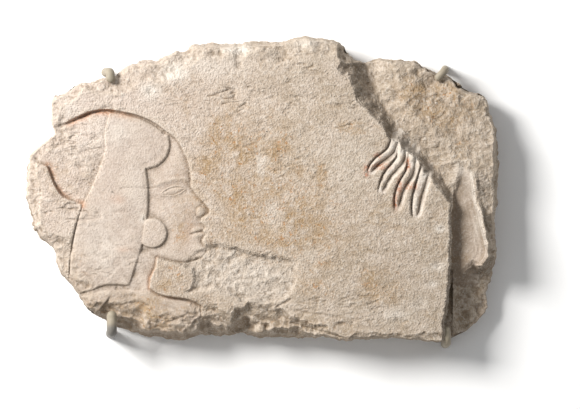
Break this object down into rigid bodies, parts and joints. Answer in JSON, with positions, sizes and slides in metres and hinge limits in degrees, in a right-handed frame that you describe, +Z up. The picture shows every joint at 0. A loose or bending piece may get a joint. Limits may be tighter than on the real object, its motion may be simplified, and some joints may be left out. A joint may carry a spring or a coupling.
{
  "type": "stone relief panel",
  "caption": "Broken limestone wall block with a sunk relief of a wigged head in profile and a hand, fixed to a wall by bent metal clips.",
  "frame": {"origin": "on the sawn back face, in the middle of the block's width and height, on the wall plane", "axes": "+X to the right as seen from the front, +Z up, +Y into the wall, so the carved face looks towards -Y"},
  "size_m": [0.3604, 0.0448, 0.2379],
  "materials": {
    "limestone": "dry, chalky, dressed face with weathered breaks and traces of red pigment",
    "clip_paint": "matt paint toned to the stone, a little worn"
  },
  "bodies": {
    "root": {"relief_block": "limestone", "clip_upper_left": "clip_paint", "clip_upper_right": "clip_paint", "clip_lower_left": "clip_paint", "clip_lower_right": "clip_paint"}
  },
  "joints": []
}
